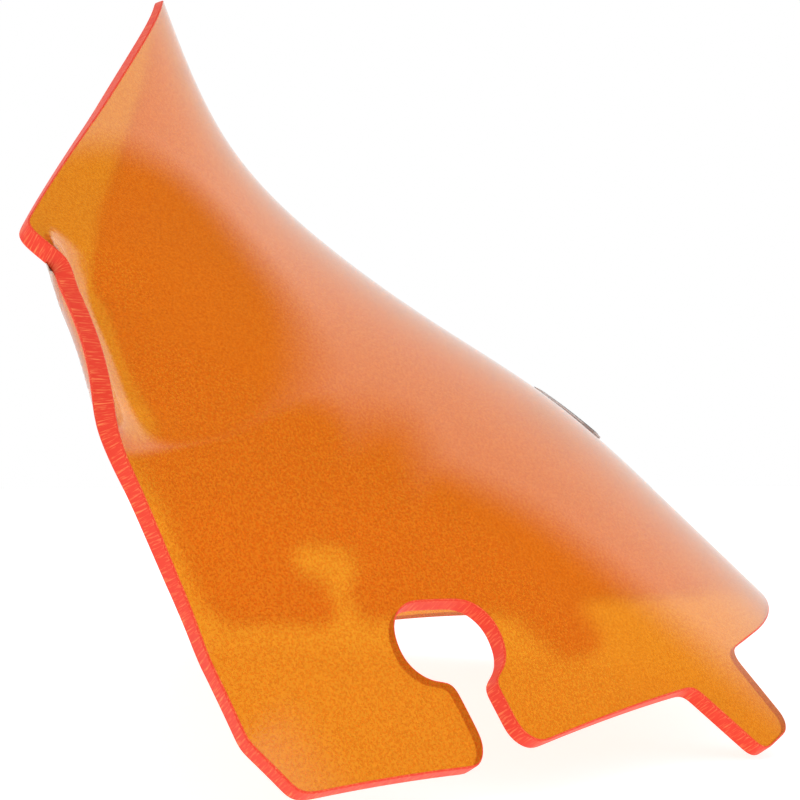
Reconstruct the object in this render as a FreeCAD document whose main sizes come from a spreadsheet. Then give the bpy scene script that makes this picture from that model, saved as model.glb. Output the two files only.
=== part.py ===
"""Flared motorcycle fairing windshield: one formed and routed plastic sheet with a bonded emblem.

Frame: millimetres, +Z up, -Y forward, +X to the rider's left. The origin is under the middle of
the part, level with its lowest point.

The sheet is a height over a flat plan. The plan slopes up to the rear at the rake angle: "along" runs
up the slope from the nose, "across" runs sideways, and "height" stands square to both.
"""
import FreeCAD, Part
import math
import os

Vector = FreeCAD.Vector
Rotation = FreeCAD.Rotation
Placement = FreeCAD.Placement

doc = FreeCAD.newDocument("FairingWindshield")
sheet = doc.addObject("Spreadsheet::Sheet", "Dimensions")

DIMENSIONS = [
    # alias, millimetres or degrees, what it is
    ("rake_angle", 45, "slope of the plan, from level"),
    ("sheet_thickness", 4.76, "3/16 inch polycarbonate sheet"),
    ("side_slope", 1.14, "fall of the sides for each millimetre across"),
    ("crown_low", 136, "how far across the low crown stays round"),
    ("crown_high", 63.5, "how far across the crown stays round at the lip"),
    ("crown_change_start", 120, "along, where the crown starts to tighten"),
    ("crown_change_end", 230, "along, where it stops"),
    ("skirt_low", -6.1, "lift of the low sides at the flare's reach, below zero tucks in"),
    ("skirt_high", 14, "lift of the hips at the flare's reach"),
    ("flare_start", 100, "along, where the hips start to lift"),
    ("flare_end", 205, "along, where they stop"),
    ("flare_reach", 130, "across, where the lift is skirt_low or skirt_high"),
    ("flare_power", 3.6, "how late across the lift comes in"),
    ("fold_depth", 6, "depth of the trough that leaves the rear edge of each hip rolled up"),
    ("fold_inset", 9, "hip's rear edge to the bottom of the trough"),
    ("fold_shift", 8, "middle of the hip's rear edge to the middle of the trough, toward the lip"),
    ("fold_length", 27, "how far the trough reaches each way from its middle"),
    ("keyhole_across", 148, "keyhole centre, across"),
    ("keyhole_along", 61, "keyhole centre, along"),
    ("head_length", 31, "oval head of each keyhole, end to end"),
    ("head_width", 21, "oval head, side to side"),
    ("head_turn", 46, "degrees that the head's long axis rises outward from level"),
    ("head_corner", 9.6, "corner radius of the head"),
    ("neck_width", 12, "width of each keyhole's neck"),
    ("neck_splay", 33.5, "degrees that the neck splays outward from straight down the sheet"),
    ("neck_round", 3, "radius where the neck meets the head"),
    ("neck_length", 30, "keyhole centre to the start of the flared mouth"),
    ("mouth_round", 7.5, "radius where the neck runs out at the sheet's edge"),
    ("mouth_flare", 86, "degrees that each side of the mouth turns away from the neck"),
    ("emblem_along", 57, "emblem centre, along"),
    ("emblem_length", 26, "emblem size along"),
    ("emblem_front_width", 36, "emblem width at its front end"),
    ("emblem_rear_width", 19, "emblem width at its rear end"),
    ("emblem_corner", 4, "emblem corner radius"),
    ("tape_thickness", 0.3, "clear adhesive under the emblem"),
    ("plate_thickness", 0.6, "clear emblem plate"),
    ("inlay_thickness", 0.2, "opaque face of the emblem"),
    ("inlay_margin", 1.2, "plate left showing round the inlay"),
]
for row, (alias, value, note) in enumerate(DIMENSIONS, start=1):
    sheet.set(f"A{row}", alias)
    sheet.set(f"B{row}", str(value))
    sheet.set(f"C{row}", note)
    sheet.setAlias(f"B{row}", alias)
doc.recompute()


def size(alias):
    """The plain number in the sheet."""
    return float(sheet.get(alias))


# Crown line on the centre plane: (along, height). It dips behind the nose and flips up at the lip.
CROWN_LINE = [(-25, 3.9), (20, 2.3), (65, -1.2), (110, -11.0), (150, -17.8), (195, -16.7), (240, 0)]

# Rear edge of the hip in plan, before its corners are rounded: (across, along).
HIP_LOW = (166.6, 149.5)
HIP_HIGH = (135.0, 184.0)

# Left half of the outline in plan: (across, along, corner radius), from the nose to the lip.
HALF_OUTLINE = [
    (50, -26.0, 120),     # nose, a broad round front
    (90.5, -9.5, 3),      # root of the tab, inner side
    (96.5, -34.5, 4),     # end of the tab
    (111.5, -28.0, 5),
    (112.5, -1.5, 5),     # root of the tab, outer side
    (163.0, 37.5, 5),     # the keyhole's mouth opens here
    (186.0, 68.5, 6),     # bottom rear corner
    (183.6, 84.5, 10),    # small jog above it
    (171.2, 112.0, 50),   # rear edge
    (*HIP_LOW, 25),
    (*HIP_HIGH, 20),
    (128.3, 202.4, 6),    # hip, where the lip ends
    (75.0, 218.5, 150),   # lip
]
LIP_CENTRE = (0, 244.2, 50)

# The formed face before routing: a net of points this far apart, reaching past the outline all round.
NET_SPACING = 4
NET_ACROSS = 200
NET_ALONG = (-56, 264)

# Heights that clear the sheet below and above, for cuts made square to the plan.
BELOW_SHEET = -400
ABOVE_SHEET = 100
CUTTER_DEPTH = 30      # through cuts made square to the sheet
MOUTH_RUN = 30         # how far each side of the keyhole's mouth runs, well past the sheet's edge
HIDDEN_CORNER = 0.5    # corners of a cutter that lie clear of the sheet, or inside the head
TOLERANCE = 0.01
BEYOND_EDGE = 0.5      # past the hip's rear edge the roll levels off at this part of the trough's depth


def smooth_step(value, start, end):
    """0 before start, 1 after end, and a smooth rise between them."""
    t = min(max((value - start) / (end - start), 0.0), 1.0)
    return t * t * (3 - 2 * t)


def natural_cubic(points):
    """A function through the points, as a springy batten would lie."""
    xs = [p[0] for p in points]
    ys = [p[1] for p in points]
    last = len(xs) - 1
    gaps = [xs[i + 1] - xs[i] for i in range(last)]
    upper = [0.0] * (last + 1)
    bend = [0.0] * (last + 1)
    for i in range(1, last):
        pull = 6 * ((ys[i + 1] - ys[i]) / gaps[i] - (ys[i] - ys[i - 1]) / gaps[i - 1])
        pivot = 2 * (gaps[i - 1] + gaps[i]) - gaps[i - 1] * upper[i - 1]
        upper[i] = gaps[i] / pivot
        bend[i] = (pull - gaps[i - 1] * bend[i - 1]) / pivot
    for i in range(last - 1, 0, -1):
        bend[i] -= upper[i] * bend[i + 1]

    def value(x):
        i = 0
        while i < last - 1 and x > xs[i + 1]:
            i += 1
        left = xs[i + 1] - x
        right = x - xs[i]
        gap = gaps[i]
        return ((bend[i] * left ** 3 + bend[i + 1] * right ** 3) / (6 * gap)
                + (ys[i] / gap - bend[i] * gap / 6) * left
                + (ys[i + 1] / gap - bend[i + 1] * gap / 6) * right)

    return value


crown_height = natural_cubic(CROWN_LINE)


def fold_dip(across, along):
    """Depth of the trough beside the hip's rear edge."""
    run = math.hypot(HIP_HIGH[0] - HIP_LOW[0], HIP_HIGH[1] - HIP_LOW[1])
    run_x = (HIP_HIGH[0] - HIP_LOW[0]) / run
    run_y = (HIP_HIGH[1] - HIP_LOW[1]) / run
    from_middle_x = abs(across) - (HIP_LOW[0] + HIP_HIGH[0]) / 2
    from_middle_y = along - (HIP_LOW[1] + HIP_HIGH[1]) / 2
    beside = from_middle_x * run_x + from_middle_y * run_y
    inboard = -from_middle_x * run_y + from_middle_y * run_x
    reach = inboard / size("fold_inset")
    if reach > 0:
        dip = reach * math.exp(1 - reach)
    else:
        dip = BEYOND_EDGE * math.tanh(math.e * reach / BEYOND_EDGE)
    fade = math.exp(-((beside - size("fold_shift")) / size("fold_length")) ** 4)
    return size("fold_depth") * dip * fade


def sheet_height(across, along):
    """Height of the outer face over the plan."""
    tighten = smooth_step(along, size("crown_change_start"), size("crown_change_end"))
    crown = size("crown_low") + (size("crown_high") - size("crown_low")) * tighten
    fall = size("side_slope") * (math.hypot(across, crown) - crown)
    flare = smooth_step(along, size("flare_start"), size("flare_end"))
    lift = size("skirt_low") + (size("skirt_high") - size("skirt_low")) * flare
    rise = lift * (abs(across) / size("flare_reach")) ** size("flare_power")
    return crown_height(along) - fall + rise - fold_dip(across, along)


def face_point(across, along):
    """Point of the outer face, in plan axes."""
    return Vector(across, along, sheet_height(across, along))


def face_normal(across, along):
    """Unit vector square out of the outer face."""
    step = 0.1
    sideways = face_point(across + step, along) - face_point(across - step, along)
    uphill = face_point(across, along + step) - face_point(across, along - step)
    return sideways.cross(uphill).normalize()


def rounded_edges(corners):
    """Closed run of lines and tangent arcs round the corners (x, y, radius)."""
    points = [Vector(x, y, 0) for x, y, _ in corners]
    ends = []
    arcs = []
    for i, (_, _, radius) in enumerate(corners):
        here = points[i]
        to_last = (points[i - 1] - here).normalize()
        to_next = (points[(i + 1) % len(points)] - here).normalize()
        half = to_last.getAngle(to_next) / 2
        reach = radius / math.tan(half)
        start = here + to_last * reach
        stop = here + to_next * reach
        middle_direction = (to_last + to_next).normalize()
        middle = here + middle_direction * (radius / math.sin(half) - radius)
        arcs.append(Part.Arc(start, middle, stop))
        ends.append((start, stop))
    edges = []
    for i, arc in enumerate(arcs):
        edges.append(arc)
        edges.append(Part.LineSegment(ends[i][1], ends[(i + 1) % len(ends)][0]))
    return edges


def mirrored(corners):
    """The same corners on the other side, in the order that carries the outline on."""
    return [(-x, y, radius) for x, y, radius in reversed(corners)]


def add_outline_prism(name, corners):
    """A sketch under the plan and its extrusion, tall enough to pass right through the sheet."""
    sketch = doc.addObject("Sketcher::SketchObject", name + "_sketch")
    sketch.addGeometry(rounded_edges(corners), False)
    sketch.Placement = Placement(Vector(0, 0, BELOW_SHEET), Rotation())
    prism = doc.addObject("Part::Extrusion", name + "_prism")
    prism.Base = sketch
    prism.DirMode = "Normal"
    prism.LengthFwd = ABOVE_SHEET - BELOW_SHEET
    prism.Solid = True
    return prism


def add_formed_face():
    """The outer face before routing, a smooth surface through a regular net of points."""
    low, high = NET_ALONG
    rows = [[face_point(across, along) for along in range(low, high + 1, NET_SPACING)]
            for across in range(-NET_ACROSS, NET_ACROSS + 1, NET_SPACING)]
    surface = Part.BSplineSurface()
    surface.interpolate(rows)
    formed = doc.addObject("Part::Feature", "formed_face")
    formed.Shape = surface.toShape()
    return formed


def add_routed_face(name, formed, prism):
    """The stretch of the formed face inside the prism."""
    routed = doc.addObject("Part::Common", name + "_face")
    routed.Base = formed
    routed.Tool = prism
    return routed


def add_layer(name, face, thickness):
    """A solid of even thickness grown from the face, square to it at its edges."""
    layer = doc.addObject("Part::Offset", name)
    layer.Label = name
    layer.Source = face
    layer.Fill = True
    layer.setExpression("Value", thickness)
    return layer


def add_raised_face(name, face, height):
    """The same face lifted clear of itself."""
    raised = doc.addObject("Part::Offset", name)
    raised.Source = face
    raised.setExpression("Value", height)
    return raised


def wall_place(side):
    """Placement on the outer face at a keyhole: X outward, Z square out of the sheet, and Y along
    the sheet, up on the left side and down on the right, so the two sides mirror each other."""
    across = side * size("keyhole_across")
    along = size("keyhole_along")
    centre = face_point(across, along)
    out = face_normal(across, along)
    uphill = face_point(across, along + 1) - centre
    outward = uphill.cross(out) * side
    return Placement(centre, Rotation(outward, Vector(), out, "ZXY"))


def turned(place, degrees):
    """The placement turned about its own Z."""
    return place * Placement(Vector(), Rotation(Vector(0, 0, 1), degrees))


def add_cutter(name, corners, place):
    """A through cut with the given outline on the placement's XY plane."""
    sketch = doc.addObject("Sketcher::SketchObject", name + "_sketch")
    sketch.addGeometry(rounded_edges(corners), False)
    sketch.Placement = place
    cutter = doc.addObject("Part::Extrusion", name)
    cutter.Base = sketch
    cutter.DirMode = "Normal"
    cutter.LengthFwd = CUTTER_DEPTH
    cutter.Symmetric = True
    cutter.Solid = True
    return cutter


def head_corners():
    """Outline of the keyhole's oval head, its long axis along X."""
    x = size("head_length") / 2
    y = size("head_width") / 2
    radius = size("head_corner")
    return [(-x, -y, radius), (x, -y, radius), (x, y, radius), (-x, y, radius)]


def neck_corners():
    """Outline of the neck along +X, from inside the head to a mouth that flares out past the edge."""
    half = size("neck_width") / 2
    start = size("neck_length")
    flare = math.radians(size("mouth_flare"))
    end_x = start + MOUTH_RUN * math.cos(flare)
    end_y = half + MOUTH_RUN * math.sin(flare)
    return [(0, -half, HIDDEN_CORNER), (start, -half, size("mouth_round")), (end_x, -end_y, HIDDEN_CORNER),
            (end_x, end_y, HIDDEN_CORNER), (start, half, size("mouth_round")), (0, half, HIDDEN_CORNER)]


def neck_corner_edges(shape, place):
    """Numbers of the two edges where the neck's sides run into the head."""
    back = place.inverse()
    found = []
    for number, edge in enumerate(shape.Edges, start=1):
        start, stop = (back.multVec(vertex.Point) for vertex in (edge.Vertexes[0], edge.Vertexes[-1]))
        is_upright = math.hypot(stop.x - start.x, stop.y - start.y) < TOLERANCE
        on_neck_side = abs(abs(start.y) - size("neck_width") / 2) < TOLERANCE
        if is_upright and on_neck_side and 1 < start.x < size("head_length") / 2:
            found.append(number)
    return found


def add_keyhole(name, side):
    """Cutter for one keyhole: an oval head whose neck runs out at the sheet's edge."""
    place = wall_place(side)
    neck_place = turned(place, side * (size("neck_splay") - 90))
    head = add_cutter(name + "_head", head_corners(), turned(place, side * size("head_turn")))
    neck = add_cutter(name + "_neck", neck_corners(), neck_place)
    sharp = doc.addObject("Part::Fuse", name + "_sharp")
    sharp.Base = head
    sharp.Tool = neck
    doc.recompute()
    keyhole = doc.addObject("Part::Fillet", name)
    keyhole.Base = sharp
    keyhole.Edges = [(number, size("neck_round"), size("neck_round"))
                     for number in neck_corner_edges(sharp.Shape, neck_place)]
    return keyhole


def add_windshield_panel(formed):
    """The formed sheet routed to its outline, with a keyhole cut in each side."""
    corners = HALF_OUTLINE + [LIP_CENTRE] + mirrored(HALF_OUTLINE)
    prism = add_outline_prism("outline", corners)
    routed = add_routed_face("panel", formed, prism)
    blank = add_layer("panel_blank", routed, "-Dimensions.sheet_thickness")
    keyholes = doc.addObject("Part::MultiFuse", "keyholes")
    keyholes.Shapes = [add_keyhole("keyhole_left", 1), add_keyhole("keyhole_right", -1)]
    panel = doc.addObject("Part::Cut", "windshield_panel")
    panel.Label = "windshield_panel"
    panel.Base = blank
    panel.Tool = keyholes
    return panel


def emblem_corners(margin):
    """Shield shape, wider at the front, drawn in by the margin all round."""
    front = size("emblem_front_width") / 2 - margin
    rear = size("emblem_rear_width") / 2 - margin
    radius = size("emblem_corner") - margin
    low = size("emblem_along") - size("emblem_length") / 2 + margin
    high = size("emblem_along") + size("emblem_length") / 2 - margin
    return [(-front, low, radius), (front, low, radius), (rear, high, radius), (-rear, high, radius)]


def add_emblem(formed):
    """Tape, plate and inlay, one on the other, each following the sheet's curve."""
    plate_base = "Dimensions.tape_thickness"
    inlay_base = plate_base + " + Dimensions.plate_thickness"
    outline = add_outline_prism("emblem", emblem_corners(0))
    tape_face = add_routed_face("emblem", formed, outline)
    plate_face = add_raised_face("plate_face", tape_face, plate_base)
    inlay_outline = add_outline_prism("inlay", emblem_corners(size("inlay_margin")))
    inlay_face = add_raised_face("inlay_raised", add_routed_face("inlay", formed, inlay_outline), inlay_base)
    return [add_layer("emblem_tape", tape_face, "Dimensions.tape_thickness"),
            add_layer("emblem_plate", plate_face, "Dimensions.plate_thickness"),
            add_layer("emblem_inlay", inlay_face, "Dimensions.inlay_thickness")]


def stand_in_frame(sub_parts):
    """Tip the plan up to its rake, then bring the origin under the middle of the whole part."""
    rake = Rotation(Vector(1, 0, 0), size("rake_angle"))
    for part in sub_parts:
        part.Placement = Placement(Vector(), rake)
    box = FreeCAD.BoundBox()
    for part in sub_parts:
        box.add(part.Shape.optimalBoundingBox())
    shift = Vector(-box.Center.x, -box.Center.y, -box.ZMin)
    for part in sub_parts:
        part.Placement = Placement(shift, rake)
    print("plan's origin at", shift)


def write_steps(sub_parts):
    """Stop at anything unsound, then write one file for each sub-part."""
    for obj in doc.Objects:
        if "Invalid" in obj.State or "Error" in obj.State:
            raise RuntimeError(f"{obj.Name} did not compute: {obj.State}")
    for part in sub_parts:
        if part.Shape.isNull() or not part.Shape.isValid() or len(part.Shape.Solids) != 1:
            raise RuntimeError(f"{part.Name} is not one valid solid")
    os.makedirs("parts", exist_ok=True)
    for part in sub_parts:
        part.Shape.exportStep(f"parts/{part.Label}.step")
        print(part.Label, round(part.Shape.Volume), "mm3")


formed_face = add_formed_face()
sub_parts = [add_windshield_panel(formed_face)] + add_emblem(formed_face)
doc.recompute()
stand_in_frame(sub_parts)
write_steps(sub_parts)
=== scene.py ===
import math
from collections import namedtuple

import bmesh
import bpy
import numpy as np
from mathutils import Euler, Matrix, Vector, geometry


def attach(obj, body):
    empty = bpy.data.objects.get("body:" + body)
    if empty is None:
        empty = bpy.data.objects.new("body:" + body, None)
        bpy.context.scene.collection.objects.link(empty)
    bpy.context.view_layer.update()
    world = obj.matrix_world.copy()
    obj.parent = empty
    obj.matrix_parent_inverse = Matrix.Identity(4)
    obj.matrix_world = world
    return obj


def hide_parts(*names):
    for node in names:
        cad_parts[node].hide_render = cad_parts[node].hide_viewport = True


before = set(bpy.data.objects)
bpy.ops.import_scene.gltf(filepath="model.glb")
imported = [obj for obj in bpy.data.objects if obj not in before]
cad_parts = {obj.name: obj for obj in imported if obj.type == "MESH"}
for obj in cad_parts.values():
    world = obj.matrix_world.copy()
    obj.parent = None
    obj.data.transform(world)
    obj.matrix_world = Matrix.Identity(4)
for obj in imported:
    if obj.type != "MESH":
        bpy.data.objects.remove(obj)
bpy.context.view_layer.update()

MM = 0.001

# The sheet is a height over a plan that slopes up to the rear. "across" runs sideways, "along" up the
# slope from the nose, and "height" square to both. Lengths are in metres.
RAKE = math.radians(45)
PLAN_ORIGIN = Vector((0, -92.156, 53.630)) * MM  # where the plan's own origin stands in the part's frame
NORMAL_STEP = 0.05 * MM
SHEET_THICKNESS = 4.76 * MM
LIP_THICKNESS = 2.8 * MM                # the sheet thins towards the tip of the lip
THINNING_ALONG = (220 * MM, 243 * MM)

# Along the centreline the face follows the crown line. To the sides it bends as a hyperbola, whose crown
# is wide low down and narrow at the top, and the skirt turns down at the bottom and flares out at the top.
CROWN_LINE = np.array([(-25, 3.9), (20, 2.3), (65, -1.2), (110, -11.0), (150, -17.8), (195, -16.7),
                       (240, 0)]) * MM
SIDE_SLOPE = 1.14
CROWN_LOW = 136 * MM
CROWN_HIGH = 63.5 * MM
CROWN_CHANGE = (120 * MM, 230 * MM)
SKIRT_LOW = -6.1 * MM
SKIRT_HIGH = 14 * MM
FLARE_ALONG = (100 * MM, 205 * MM)
FLARE_REACH = 130 * MM
FLARE_POWER = 3.6

# The rear edge of each hip is rolled up by a trough that runs beside it.
HIP_LOW = np.array([166.6, 149.5]) * MM  # ends of the edge in plan, before its corners are rounded
HIP_HIGH = np.array([135.0, 184.0]) * MM
FOLD_DEPTH = 6 * MM
FOLD_INSET = 9 * MM                     # from the edge to the bottom of the trough
FOLD_SHIFT = 8 * MM                     # the trough's middle, up from the middle of the edge
FOLD_LENGTH = 27 * MM                   # from the trough's middle to where it fades
FOLD_FADE = 4                           # the higher, the more suddenly it fades
BEYOND_EDGE = 0.5                       # the face rises at most this share of the depth past the edge

# Base of each layer above the outer face, and its thickness.
EMBLEM_LAYERS = {"emblem_tape": (0.0, 0.3 * MM), "emblem_plate": (0.3 * MM, 0.6 * MM),
                 "emblem_inlay": (0.9 * MM, 0.2 * MM)}
EMBLEM_GAP = 0.02 * MM

# How finely a piece is drawn: how far its CAD rim may lie off its level, the spacing of its outline and
# the averaging passes over it, the spacing of its faces' net, and the radius of its arrises.
Fineness = namedtuple("Fineness", "tolerance, rim_spacing, rim_passes, net_spacing, arris")
PANEL_FINENESS = Fineness(1.5 * MM, 0.7 * MM, 5, 1.8 * MM, 0.45 * MM)
EMBLEM_FINENESS = Fineness(0.09 * MM, 0.35 * MM, 3, 1.5 * MM, 0.06 * MM)
ARRIS_STEPS = 3
SHARP_ANGLE = math.radians(40)          # the surface turns by more than this at a rim
WELD_DISTANCE = 1e-6
NET_WELD = 1e-7
NET_CLEARANCE = 0.6                     # the net keeps this share of its spacing from the outline
POINTS_AT_ONCE = 500                    # keeps the table of distances small

WHITE = (1, 1, 1, 1)
FLOOR_SIZE = 6.0
FLOOR_DROP = 0.5 * MM


def unit(vectors):
    return vectors / np.linalg.norm(vectors, axis=-1, keepdims=True)


def smooth_step(value, start, end):
    t = np.clip((value - start) / (end - start), 0, 1)
    return t * t * (3 - 2 * t)


def natural_cubic(points):
    """A vectorised function through the points, bending as a springy batten does."""
    xs, ys = points.T
    gaps = np.diff(xs)
    size = len(xs)
    system = np.eye(size)
    pull = np.zeros(size)
    for i in range(1, size - 1):
        system[i, i - 1:i + 2] = gaps[i - 1], 2 * (gaps[i - 1] + gaps[i]), gaps[i]
        pull[i] = 6 * ((ys[i + 1] - ys[i]) / gaps[i] - (ys[i] - ys[i - 1]) / gaps[i - 1])
    bend = np.linalg.solve(system, pull)

    def value(x):
        i = np.clip(np.searchsorted(xs, x) - 1, 0, size - 2)
        left, right, gap = xs[i + 1] - x, x - xs[i], gaps[i]
        return ((bend[i] * left ** 3 + bend[i + 1] * right ** 3) / (6 * gap)
                + (ys[i] / gap - bend[i] * gap / 6) * left
                + (ys[i + 1] / gap - bend[i + 1] * gap / 6) * right)

    return value


crown_height = natural_cubic(CROWN_LINE)


def fold_dip(across, along):
    """Depth of the trough that leaves the hip's rear edge rolled up."""
    run_x, run_y = unit(HIP_HIGH - HIP_LOW)
    middle_x, middle_y = (HIP_LOW + HIP_HIGH) / 2
    x, y = np.abs(across) - middle_x, along - middle_y
    beside = x * run_x + y * run_y
    inboard = y * run_x - x * run_y
    reach = inboard / FOLD_INSET
    trough = reach * np.exp(1 - reach)
    outside = BEYOND_EDGE * np.tanh(math.e * reach / BEYOND_EDGE)
    dip = np.where(reach > 0, trough, outside)
    return FOLD_DEPTH * dip * np.exp(-((beside - FOLD_SHIFT) / FOLD_LENGTH) ** FOLD_FADE)


def sheet_height(across, along):
    """Height of the outer face over the plan."""
    crown = CROWN_LOW + (CROWN_HIGH - CROWN_LOW) * smooth_step(along, *CROWN_CHANGE)
    fall = SIDE_SLOPE * (np.hypot(across, crown) - crown)
    lift = SKIRT_LOW + (SKIRT_HIGH - SKIRT_LOW) * smooth_step(along, *FLARE_ALONG)
    rise = lift * (np.abs(across) / FLARE_REACH) ** FLARE_POWER
    return crown_height(along) - fall + rise - fold_dip(across, along)


def sheet_thickness(along):
    return SHEET_THICKNESS + (LIP_THICKNESS - SHEET_THICKNESS) * smooth_step(along, *THINNING_ALONG)


def face_points(across, along):
    return np.stack([across, along, sheet_height(across, along)], axis=-1)


def face_normals(across, along):
    """Unit normals of the outer face, in plan."""
    sideways = face_points(across + NORMAL_STEP, along) - face_points(across - NORMAL_STEP, along)
    uphill = face_points(across, along + NORMAL_STEP) - face_points(across, along - NORMAL_STEP)
    return unit(np.cross(sideways, uphill))


def rake_turn():
    return np.array(Euler((RAKE, 0, 0)).to_matrix())


def to_part(points):
    """Plan coordinates to the part's frame."""
    return points @ rake_turn().T + np.array(PLAN_ORIGIN)


def to_plan(points):
    """The part's frame to plan coordinates."""
    return (points - np.array(PLAN_ORIGIN)) @ rake_turn()


def face_distance(points):
    """How far each plan point stands out from the outer face, along the face's normal."""
    across, along, height = points.T
    return (height - sheet_height(across, along)) * face_normals(across, along)[:, 2]


def walk_loop(neighbours):
    """The closed chain of vertices through a table of each one's two neighbours."""
    start = min(neighbours)
    chain = [start]
    last, here = None, start
    while True:
        last, here = here, next(n for n in neighbours[here] if n != last)
        if here == start:
            return chain
        chain.append(here)


def cad_rim(node, level, tolerance):
    """Closed outline, in plan, of the CAD node's face that lies level above the outer face."""
    bm = bmesh.new()
    bm.from_mesh(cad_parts[node].data)
    bmesh.ops.remove_doubles(bm, verts=bm.verts, dist=WELD_DISTANCE)
    plan = to_plan(np.array([v.co for v in bm.verts]))
    close = np.abs(face_distance(plan) - level) < tolerance
    neighbours = {}
    for edge in bm.edges:
        a, b = (v.index for v in edge.verts)
        if close[a] and close[b] and edge.calc_face_angle() > SHARP_ANGLE:
            neighbours.setdefault(a, []).append(b)
            neighbours.setdefault(b, []).append(a)
    bm.free()
    rim = plan[walk_loop(neighbours), :2]
    x, y = rim.T
    is_clockwise = np.sum(x * np.roll(y, -1) - y * np.roll(x, -1)) < 0
    return rim[::-1] if is_clockwise else rim


def evenly_spaced(rim, spacing, passes):
    """The same closed outline with even spacing, its facets rounded by averaging passes."""
    closed = np.vstack([rim, rim[:1]])
    run = np.concatenate([[0], np.cumsum(np.linalg.norm(np.diff(closed, axis=0), axis=1))])
    count = int(round(run[-1] / spacing))
    places = np.arange(count) * run[-1] / count
    points = np.stack([np.interp(places, run, closed[:, k]) for k in (0, 1)], axis=-1)
    for _ in range(passes):
        points = (np.roll(points, 1, axis=0) + 2 * points + np.roll(points, -1, axis=0)) / 4
    return points


def inside(points, rim):
    """True for each point inside the closed outline."""
    x, y = points.T
    result = np.zeros(len(points), bool)
    for (x0, y0), (x1, y1) in zip(rim, np.roll(rim, -1, axis=0)):
        if y0 != y1:
            crosses = (y0 > y) != (y1 > y)
            result ^= crosses & (x < x0 + (y - y0) * (x1 - x0) / (y1 - y0))
    return result


def plan_grid(rim, spacing):
    """Square grid of points inside the outline and a little clear of it."""
    low, high = rim.min(axis=0), rim.max(axis=0)
    xs = np.arange(low[0], high[0], spacing)
    ys = np.arange(low[1], high[1], spacing)
    grid = np.stack(np.meshgrid(xs, ys), axis=-1).reshape(-1, 2)
    grid = grid[inside(grid, rim)]
    parts = np.array_split(grid, max(1, len(grid) // POINTS_AT_ONCE))
    nearest = [np.linalg.norm(part[:, None] - rim[None], axis=-1).min(axis=1) for part in parts]
    return grid[np.concatenate(nearest) > NET_CLEARANCE * spacing]


def plan_net(rim, spacing):
    """Triangles filling the outline: (plan points, triangles, each rim point's place among them)."""
    count = len(rim)
    sources = [Vector(p) for p in np.vstack([rim, plan_grid(rim, spacing)])]
    edges = [(i, (i + 1) % count) for i in range(count)]
    inside_only = 1
    points, _, faces, origins, _, _ = geometry.delaunay_2d_cdt(sources, edges, [], inside_only, NET_WELD)
    place = {source: i for i, merged in enumerate(origins) for source in merged}
    return np.array([p[:] for p in points]), [tuple(f) for f in faces], [place[i] for i in range(count)]


def edge_profile(arris):
    """Section of the cut edge from the top face to the bottom one, as rings of (distance in from the
    edge, drop from the nearer face, whether that is the bottom face, turn of the normal)."""
    turns = [math.radians(90) * k / ARRIS_STEPS for k in range(1, ARRIS_STEPS + 1)]
    rounded = [(arris * (1 - math.sin(a)), arris * (1 - math.cos(a)), a) for a in turns]
    upper = [(inward, drop, False, a) for inward, drop, a in rounded]
    lower = [(inward, drop, True, math.pi - a) for inward, drop, a in reversed(rounded)]
    return upper + lower


def bridge(rings):
    """Four-sided faces joining each ring of vertices to the next."""
    faces = []
    for upper, lower in zip(rings, rings[1:]):
        quads = zip(upper, lower, np.roll(lower, -1), np.roll(upper, -1))
        faces += [tuple(int(i) for i in quad) for quad in quads]
    return faces


def set_edge_runs(mesh, flat_count, edge_points, depth, bands):
    """Texture coordinates on the cut edge: how far round the outline, and how far through."""
    count = len(edge_points)
    steps = np.linalg.norm(np.roll(edge_points, -1, axis=0) - edge_points, axis=1)
    runs = np.concatenate([[0], np.cumsum(steps)])
    layer = mesh.uv_layers.new(name="edge_run")
    for band in range(bands):
        for i in range(count):
            polygon = mesh.polygons[flat_count + band * count + i]
            through = [depth[i] * (band + k) / bands for k in (0, 1, 1, 0)]
            along = [runs[i + k] for k in (0, 0, 1, 1)]
            for loop, u, v in zip(polygon.loop_indices, along, through):
                layer.data[loop].uv = (u, v)


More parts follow.
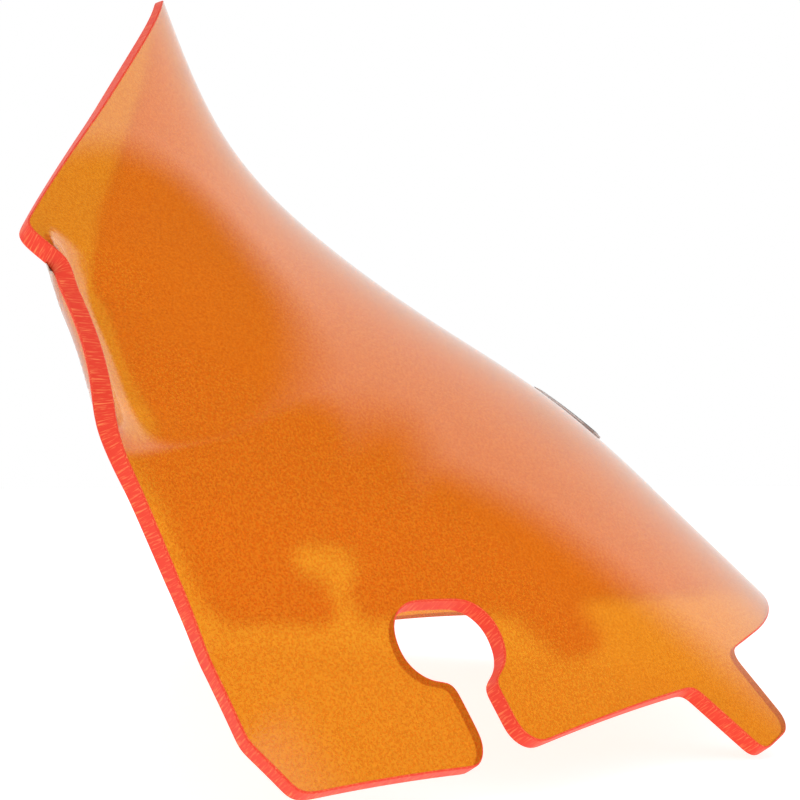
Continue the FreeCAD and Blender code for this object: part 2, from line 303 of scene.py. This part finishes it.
def build_layer(name, rim, top, thickness, fineness):
    """A closed shell following the sheet: two smooth faces joined by a cut edge with softened arrises.

    Its top face lies top above the outer face, and thickness is a function of along. Material 0 goes on
    the two faces and material 1 on the cut edge."""
    edge_points = face_points(*rim.T)
    normals = face_normals(*rim.T)
    runs = unit(np.roll(edge_points, -1, axis=0) - np.roll(edge_points, 1, axis=0))
    outward = unit(np.cross(runs, normals))
    inset_rim = (edge_points - outward * fineness.arris)[:, :2]
    net, triangles, rim_places = plan_net(inset_rim, fineness.net_spacing)
    net_points = face_points(*net.T)
    net_normals = face_normals(*net.T)
    net_depth = thickness(net[:, 1])[:, None]
    edge_depth = thickness(rim[:, 1])[:, None]
    count = len(rim)
    size = len(net)

    vertices = [net_points + net_normals * top, net_points + net_normals * (top - net_depth)]
    vertex_normals = [net_normals, -net_normals]
    rings = [np.array(rim_places)]
    for ring, (inward, drop, is_lower, angle) in enumerate(edge_profile(fineness.arris)):
        depth = edge_depth - drop if is_lower else drop
        vertices.append(edge_points - outward * inward + normals * (top - depth))
        vertex_normals.append(normals * math.cos(angle) + outward * math.sin(angle))
        rings.append(2 * size + ring * count + np.arange(count))
    rings.append(np.array(rim_places) + size)

    flat_faces = triangles + [tuple(i + size for i in reversed(f)) for f in triangles]
    edge_faces = bridge(rings)
    mesh = bpy.data.meshes.new(name)
    mesh.from_pydata(to_part(np.vstack(vertices)).tolist(), [], flat_faces + edge_faces)
    set_edge_runs(mesh, len(flat_faces), edge_points, edge_depth[:, 0], len(rings) - 1)
    mesh.polygons.foreach_set("use_smooth", [True] * len(mesh.polygons))
    mesh.polygons.foreach_set("material_index", [0] * len(flat_faces) + [1] * len(edge_faces))
    mesh.normals_split_custom_set_from_vertices((np.vstack(vertex_normals) @ rake_turn().T).tolist())
    mesh.update()
    piece = bpy.data.objects.new(name, mesh)
    bpy.context.scene.collection.objects.link(piece)
    return piece


def set_inputs(node, **inputs):
    """Set a node's sockets by name, with an underscore for each space."""
    for key, value in inputs.items():
        node.inputs[key.replace("_", " ")].default_value = value


def add_node(tree, kind, **inputs):
    node = tree.nodes.new(kind)
    set_inputs(node, **inputs)
    return node


def new_material(name):
    material = bpy.data.materials.new(name)
    material.use_nodes = True
    tree = material.node_tree
    return material, tree, tree.nodes["Principled BSDF"]


def object_coordinates(tree):
    return tree.nodes.new("ShaderNodeTexCoord").outputs["Object"]


def add_noise(tree, place, **inputs):
    noise = add_node(tree, "ShaderNodeTexNoise", **inputs)
    tree.links.new(place, noise.inputs["Vector"])
    return noise.outputs["Fac"]


def add_bump(tree, shader, height, strength, distance):
    bump = add_node(tree, "ShaderNodeBump", Strength=strength, Distance=distance)
    tree.links.new(height, bump.inputs["Height"])
    tree.links.new(bump.outputs["Normal"], shader.inputs["Normal"])


def add_ramp(tree, value, low, high):
    """Colour running between two (position, colour) stops."""
    ramp = tree.nodes.new("ShaderNodeValToRGB")
    tree.links.new(value, ramp.inputs["Fac"])
    for stop, (position, colour) in zip(ramp.color_ramp.elements, (low, high)):
        stop.position = position
        stop.color = (*colour, 1)
    return ramp.outputs["Color"]


def tinted_sheet_material():
    """Through-dyed orange polycarbonate, seen with a fine moulded-in grain."""
    deep = (0.86, 0.262, 0.012)
    pale = (0.99, 0.385, 0.024)
    material, tree, shader = new_material("tinted_polycarbonate")
    set_inputs(shader, Roughness=0.025, IOR=1.58, Transmission_Weight=0.66)
    grain = add_noise(tree, object_coordinates(tree), Scale=1400.0, Detail=3.0, Roughness=0.7)
    tree.links.new(add_ramp(tree, grain, (0.42, deep), (0.58, pale)), shader.inputs["Base Color"])
    add_bump(tree, shader, grain, strength=0.07, distance=0.15 * MM)
    return material


def cut_edge_material():
    """Routed edge, deeper and redder, with cutter marks and a painted glow that stands in for light piped
    along the sheet and coming out here.
    """
    deep = (0.76, 0.036, 0.010)
    pale = (0.95, 0.26, 0.08)
    material, tree, shader = new_material("routed_edge")
    # The emission is a painted glow on the edge, which is no lamp; the marked edge colour feeds both base
    # colour and glow.
    set_inputs(shader, Roughness=0.5, IOR=1.4, Emission_Strength=0.12)
    runs = tree.nodes.new("ShaderNodeUVMap")
    runs.uv_map = "edge_run"
    stretch = add_node(tree, "ShaderNodeMapping", Scale=(1, 0.45, 1))
    tree.links.new(runs.outputs["UV"], stretch.inputs["Vector"])
    marks = add_noise(tree, stretch.outputs["Vector"], Scale=2000.0, Detail=3.0, Roughness=0.65)
    painted_glow_and_marks = add_ramp(tree, marks, (0.52, deep), (0.74, pale))
    tree.links.new(painted_glow_and_marks, shader.inputs["Base Color"])
    tree.links.new(painted_glow_and_marks, shader.inputs["Emission Color"])
    add_bump(tree, shader, marks, strength=0.4, distance=0.15 * MM)
    return material


def clear_material(name, tint, roughness):
    """Clear plastic with a faint haze."""
    material, tree, shader = new_material(name)
    set_inputs(shader, Base_Color=(*tint, 1), Roughness=roughness, IOR=1.49, Transmission_Weight=0.6)
    haze = add_noise(tree, object_coordinates(tree), Scale=2500.0, Detail=2.0)
    add_bump(tree, shader, haze, strength=0.05, distance=0.05 * MM)
    return material


def dark_inlay_material():
    """Near-black print under a clear coat, with a faint speckle."""
    deep = (0.018, 0.022, 0.020)
    pale = (0.040, 0.046, 0.042)
    material, tree, shader = new_material("dark_inlay_print")
    set_inputs(shader, Roughness=0.25, Coat_Weight=0.6)
    speckle = add_noise(tree, object_coordinates(tree), Scale=3000.0, Detail=2.0)
    tree.links.new(add_ramp(tree, speckle, (0, deep), (1, pale)), shader.inputs["Base Color"])
    return material


def add_piece(name, node, level, top, thickness, fineness, face_material, edge_material):
    """Draw a CAD node's piece anew inside the outline of its face that lies level above the outer face."""
    rim = cad_rim(node, level, fineness.tolerance)
    rim = evenly_spaced(rim, fineness.rim_spacing, fineness.rim_passes)
    piece = build_layer(name, rim, top, thickness, fineness)
    piece.data.materials.append(face_material)
    piece.data.materials.append(edge_material)
    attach(piece, "root")
    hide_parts(node)


def add_panel():
    outer_face = 0.0
    add_piece("formed_sheet", "windshield_panel", outer_face, outer_face, sheet_thickness,
              PANEL_FINENESS, tinted_sheet_material(), cut_edge_material())


def even_thickness(depth):
    return lambda along: np.full_like(along, depth)


def add_emblem():
    """Tape, plate and inlay, each a hair thinner than its place so that their faces stay apart."""
    tape = clear_material("clear_tape", (0.84, 0.70, 0.66), 0.2)
    plate = clear_material("clear_acrylic", (0.86, 0.76, 0.73), 0.03)
    inlay = dark_inlay_material()
    looks = {"emblem_tape": ("clear_adhesive", tape), "emblem_plate": ("clear_plate", plate),
             "emblem_inlay": ("dark_inlay", inlay)}
    for node, (base, thickness) in EMBLEM_LAYERS.items():
        slot, material = looks[node]
        add_piece(node + "_layer", node, base, base + thickness,
                  even_thickness(thickness - EMBLEM_GAP), EMBLEM_FINENESS, material, material)


def add_floor():
    bpy.ops.mesh.primitive_plane_add(size=FLOOR_SIZE, location=(0, 0, -FLOOR_DROP))
    floor = bpy.context.object
    floor.name = "floor"
    material, _, shader = new_material("pale_floor")
    set_inputs(shader, Base_Color=(0.5, 0.5, 0.5, 1), Roughness=0.9, Emission_Color=WHITE,
               Emission_Strength=0.75)
    floor.data.materials.append(material)


def dark_card_material(name, soft_edge):
    """Black, fading to white at both ends of the card's length over the soft edge, a share of it."""
    end = 0.5
    material, tree, shader = new_material(name)
    set_inputs(shader, Base_Color=(0.02, 0.02, 0.02, 1), Roughness=1.0, Emission_Color=WHITE)
    split = tree.nodes.new("ShaderNodeSeparateXYZ")
    tree.links.new(object_coordinates(tree), split.inputs["Vector"])
    from_middle = tree.nodes.new("ShaderNodeMath")
    from_middle.operation = "ABSOLUTE"
    tree.links.new(split.outputs["X"], from_middle.inputs[0])
    fade = add_node(tree, "ShaderNodeMapRange", From_Min=end - soft_edge, From_Max=end)
    fade.interpolation_type = "SMOOTHSTEP"
    tree.links.new(from_middle.outputs["Value"], fade.inputs["Value"])
    tree.links.new(fade.outputs["Result"], shader.inputs["Emission Strength"])
    return material


def add_dark_card(name, place, turn, size, soft_edge):
    """Card that shows only in reflections, as glass photographers use. The turn is in degrees."""
    bpy.ops.mesh.primitive_plane_add(size=1, location=place)
    card = bpy.context.object
    card.name = name
    card.scale = (*size, 1)
    card.rotation_euler = [math.radians(angle) for angle in turn]
    card.data.materials.append(dark_card_material(name, soft_edge))
    card.visible_camera = False
    card.visible_transmission = False
    card.visible_diffuse = False
    card.visible_shadow = False


def add_world():
    """A white studio all round."""
    world = bpy.data.worlds.new("studio")
    bpy.context.scene.world = world
    world.use_nodes = True
    set_inputs(world.node_tree.nodes["Background"], Color=WHITE, Strength=1.0)


def add_camera():
    """Low on the rider's right, looking across the part and a little forward and up."""
    heading = math.radians(8.25)
    lift = math.radians(1.69)
    level = math.cos(lift)
    direction = Vector((level * math.cos(heading), -level * math.sin(heading), math.sin(lift)))
    camera_data = bpy.data.cameras.new("camera")
    camera_data.sensor_width = 36
    camera_data.lens = 76.06
    camera_data.clip_start = 0.01
    camera = bpy.data.objects.new("camera", camera_data)
    camera.location = (-0.5426, 0.0802, 0.0818)
    camera.rotation_euler = direction.to_track_quat("-Z", "Y").to_euler()
    bpy.context.scene.collection.objects.link(camera)
    bpy.context.scene.camera = camera


add_panel()
add_emblem()
add_floor()
add_world()
add_dark_card("front_card", place=(-0.2, -1.3, 0.8), turn=(90, 0, 0), size=(1.75, 1.7), soft_edge=0.2)
add_dark_card("overhead_card", place=(0, -0.37, 1.6), turn=(0, 0, -62), size=(2.4, 3.4), soft_edge=0.14)
add_camera()
bpy.context.scene.view_settings.view_transform = "Standard"
